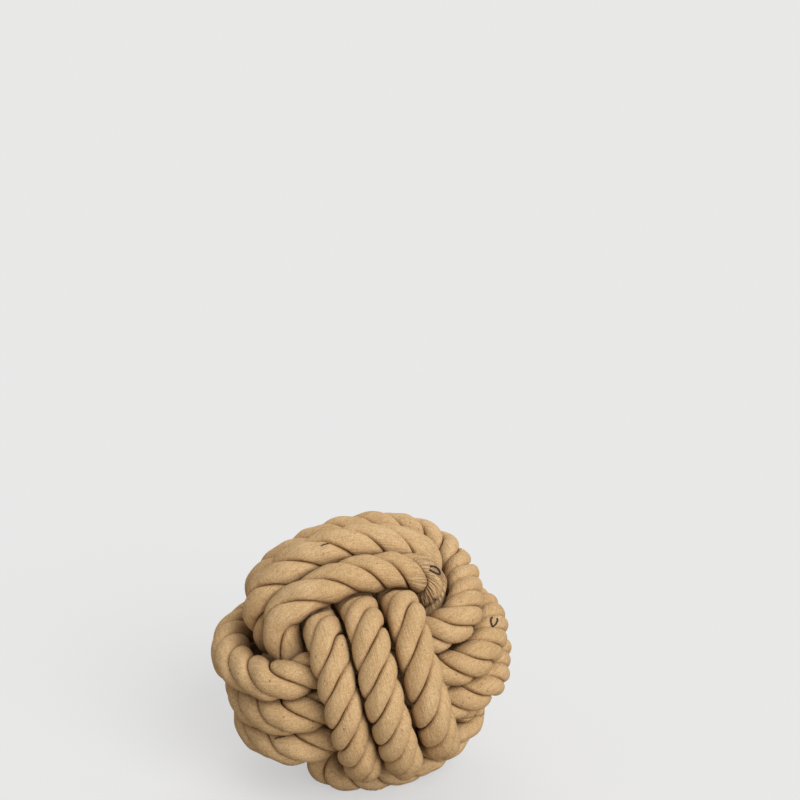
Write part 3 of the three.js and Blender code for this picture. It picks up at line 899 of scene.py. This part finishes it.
class RopeBallColours(bpy.types.PropertyGroup):
    """Colours of the finishes, the floor and the surroundings."""

    cotton: colour_property("Cotton", "Undyed cotton of the rope", (0.61, 0.405, 0.208))
    cotton_dark: colour_property("Dark cotton", "Cotton where the felt is thin", (0.45, 0.27, 0.115))
    cotton_pale: colour_property("Pale cotton", "Cotton where the felt is thick", (0.74, 0.54, 0.315))
    fleck: colour_property("Fleck", "Dark specks of seed coat", (0.13, 0.065, 0.035))
    seed: colour_property("Seed", "Yellow and reddish specks", (0.55, 0.3, 0.06))
    core: colour_property("Core yarn", "Wound yarn of the core", (0.42, 0.28, 0.14))
    twine: colour_property("Whipping twine", "Twine round the rope's ends", (0.66, 0.52, 0.32))
    thread: colour_property("Sewing thread", "Dark thread of the stitches", (0.03, 0.018, 0.014))
    thread_worn: colour_property("Worn thread", "Thread where its wax is rubbed off", (0.13, 0.08, 0.05))
    floor: colour_property("Floor", "Floor as it is seen", (0.76, 0.76, 0.76))
    surroundings: colour_property("Surroundings", "What lies past the floor, as it is seen",
                                  (0.79, 0.79, 0.79))
    floor_shade: colour_property("Floor shade", "Floor as it lights the ball", (0.34, 0.3, 0.25))


def sizes_and_colours(context):
    """The two groups of the scene's settings."""
    return context.scene.rope_ball_sizes, context.scene.rope_ball_colours


class ROPEBALL_OT_core(bpy.types.Operator):
    """Wind the yarn ball that the knot is tied round"""

    bl_idname = "rope_ball.core"
    bl_label = "Core ball"

    def execute(self, context):
        colours = sizes_and_colours(context)[1]
        add_piece("wound_core", wound_ball(), core_material(colours), ["core_ball"])
        return {"FINISHED"}


class ROPEBALL_OT_windings(bpy.types.Operator):
    """Lay the rope: its three windings and its two tucked ends"""

    bl_idname = "rope_ball.windings"
    bl_label = "Rope"

    def execute(self, context):
        sizes, colours = sizes_and_colours(context)
        rope = Rope(sizes.lay_length)
        material = rope_material(colours)
        for node, (start, end) in rope.spans.items():
            *surface, values = laid_rope(rope, start, end, sizes)
            add_piece(f"laid_{node}", surface, material, [node], values)
        return {"FINISHED"}


class ROPEBALL_OT_whippings(bpy.types.Operator):
    """Whip the two tucked rope ends with twine"""

    bl_idname = "rope_ball.whippings"
    bl_label = "Whippings"

    def execute(self, context):
        sizes, colours = sizes_and_colours(context)
        rope = Rope(sizes.lay_length)
        for end in ("start", "finish"):
            add_piece(f"{end}_twine", twine_coil(rope, end), twine_material(colours),
                      [f"{end}_whipping"])
        return {"FINISHED"}


class ROPEBALL_OT_stitches(bpy.types.Operator):
    """Sew the two dark stitches, lay a dark fibre caught in the felt, and paint the shade of a fold with a
    second dark fibre
    """

    bl_idname = "rope_ball.stitches"
    bl_label = "Stitches and fibres"

    def execute(self, context):
        sizes, colours = sizes_and_colours(context)
        rope = Rope(sizes.lay_length)
        material = thread_material(colours)
        for node, stitch in STITCHES.items():
            add_piece(f"{node}_thread", thread_loop(rope, stitch, sizes), material, [node])
        for name, fibre in FIBRES.items():
            add_piece(name, stray_fibre(rope, fibre, sizes), material, [])
        return {"FINISHED"}


class ROPEBALL_OT_stage(bpy.types.Operator):
    """Set the floor, the soft light and the camera"""

    bl_idname = "rope_ball.stage"
    bl_label = "Stage"

    def execute(self, context):
        sizes, colours = sizes_and_colours(context)
        add_floor(sizes, colours)
        for name, lamp in LAMPS.items():
            add_lamp(name, **lamp)
        add_surroundings(context.scene, colours)
        add_camera(context.scene)
        context.scene.view_settings.view_transform = "Standard"
        return {"FINISHED"}


def seen_share(n):
    """1 for what is seen, directly, by gloss or through glass, and 0 for what only lights the ball."""
    ray = n.add("ShaderNodeLightPath").outputs
    glossy = n.math("MAXIMUM", ray["Is Glossy Ray"], ray["Is Transmission Ray"])
    return n.math("MAXIMUM", ray["Is Camera Ray"], glossy)


def add_floor(sizes, colours):
    """A flat round floor at height zero, pale to the camera and darker as a source of light."""
    turns = np.linspace(0, 2 * np.pi, FLOOR_SIDES, endpoint=False)
    points = np.stack([np.cos(turns), np.sin(turns), np.zeros_like(turns)], 1) * sizes.floor_radius
    mesh = bpy.data.meshes.new("floor")
    mesh.from_pydata(points.tolist(), [], [list(range(len(points)))])
    material, n = new_material("pale_floor")
    shade = n.add("ShaderNodeBsdfDiffuse", {"Color": colours.floor_shade})
    lit = n.add("ShaderNodeBsdfDiffuse", {"Color": colours.floor})
    even = n.add("ShaderNodeEmission", {"Color": colours.surroundings, "Strength": 1.0})
    seen = n.add("ShaderNodeMixShader", {0: FLOOR_EVEN_SHARE, 1: lit.outputs[0], 2: even.outputs[0]})
    both = n.add("ShaderNodeMixShader", {0: seen_share(n), 1: shade.outputs[0], 2: seen.outputs[0]})
    n.add("ShaderNodeOutputMaterial", {"Surface": both.outputs[0]})
    mesh.materials.append(material)
    floor = bpy.data.objects.new("floor", mesh)
    bpy.context.scene.collection.objects.link(floor)


def add_surroundings(scene, colours):
    """Even surroundings, pale to the camera, and a softer light on the ball."""
    world = bpy.data.worlds.new("soft_room")
    world.use_nodes = True
    world.node_tree.nodes.clear()
    n = NodeTree(world.node_tree)
    light = n.add("ShaderNodeBackground", {"Color": ROOM_COLOUR, "Strength": ROOM_LIGHT})
    seen = n.add("ShaderNodeBackground", {"Color": colours.surroundings, "Strength": 1.0})
    both = n.add("ShaderNodeMixShader", {0: seen_share(n), 1: light.outputs[0], 2: seen.outputs[0]})
    n.add("ShaderNodeOutputWorld", {"Surface": both.outputs[0]})
    scene.world = world


def add_lamp(name, azimuth, elevation, strength, spread):
    """Far lamp of even light, aimed at the ball from an azimuth and an elevation."""
    data = bpy.data.lights.new(name, "SUN")
    data.energy = strength
    data.angle = math.radians(spread)
    lamp = bpy.data.objects.new(name, data)
    turn, rise = math.radians(azimuth), math.radians(elevation)
    towards = Vector((math.sin(turn) * math.cos(rise), -math.cos(turn) * math.cos(rise), math.sin(rise)))
    lamp.location = Vector(BALL_CENTRE) + towards * LAMP_DISTANCE
    lamp.rotation_euler = (-towards).to_track_quat("-Z", "Y").to_euler()
    bpy.context.scene.collection.objects.link(lamp)


def add_camera(scene):
    """Level camera, aimed so that the ball's centre falls on its pixel of the photograph."""
    focal = LENS / SENSOR_WIDTH * PHOTO_SIDE
    x, y = (BALL_PIXEL_X - PHOTO_SIDE / 2) / focal, (PHOTO_SIDE / 2 - BALL_PIXEL_Y) / focal
    length = math.sqrt(1 + x * x + y * y)
    rise = -math.asin(math.sin(SIGHT_ELEVATION) * length / math.sqrt(1 + y * y)) - math.atan2(y, 1)
    forward = math.cos(rise) - y * math.sin(rise)
    azimuth = SIGHT_AZIMUTH + math.atan2(x, forward)
    data = bpy.data.cameras.new("camera")
    data.lens = LENS
    data.sensor_width = SENSOR_WIDTH
    camera = bpy.data.objects.new("camera", data)
    back = Vector((math.sin(SIGHT_AZIMUTH) * math.cos(SIGHT_ELEVATION),
                   -math.cos(SIGHT_AZIMUTH) * math.cos(SIGHT_ELEVATION), math.sin(SIGHT_ELEVATION)))
    camera.location = Vector(BALL_CENTRE) + back * BALL_DISTANCE
    camera.rotation_euler = (math.pi / 2 + rise, 0, azimuth)
    scene.collection.objects.link(camera)
    scene.camera = camera


class ROPEBALL_PT_panel(bpy.types.Panel):
    """Lists the ball's sizes, colours and building steps"""

    bl_label = "Rope ball"
    bl_idname = "ROPEBALL_PT_panel"
    bl_space_type = "VIEW_3D"
    bl_region_type = "UI"
    bl_category = "Rope ball"

    def draw(self, context):
        sizes, colours = sizes_and_colours(context)
        for group in (sizes, colours):
            box = self.layout.box()
            for name in group.__annotations__:
                box.prop(group, name)
        for operator in OPERATORS:
            self.layout.operator(operator.bl_idname)


OPERATORS = (ROPEBALL_OT_stage, ROPEBALL_OT_core, ROPEBALL_OT_windings, ROPEBALL_OT_whippings,
             ROPEBALL_OT_stitches)
CLASSES = (RopeBallSizes, RopeBallColours, *OPERATORS, ROPEBALL_PT_panel)


def register():
    """Make the classes and the scene's settings known to Blender."""
    for cls in CLASSES:
        bpy.utils.register_class(cls)
    bpy.types.Scene.rope_ball_sizes = bpy.props.PointerProperty(type=RopeBallSizes)
    bpy.types.Scene.rope_ball_colours = bpy.props.PointerProperty(type=RopeBallColours)


def unregister():
    """Take them out again."""
    del bpy.types.Scene.rope_ball_colours
    del bpy.types.Scene.rope_ball_sizes
    for cls in reversed(CLASSES):
        bpy.utils.unregister_class(cls)


def main():
    """Build the stage and the ball."""
    register()
    bpy.ops.rope_ball.stage()
    bpy.ops.rope_ball.core()
    bpy.ops.rope_ball.windings()
    bpy.ops.rope_ball.whippings()
    bpy.ops.rope_ball.stitches()


if __name__ == "__main__":
    main()
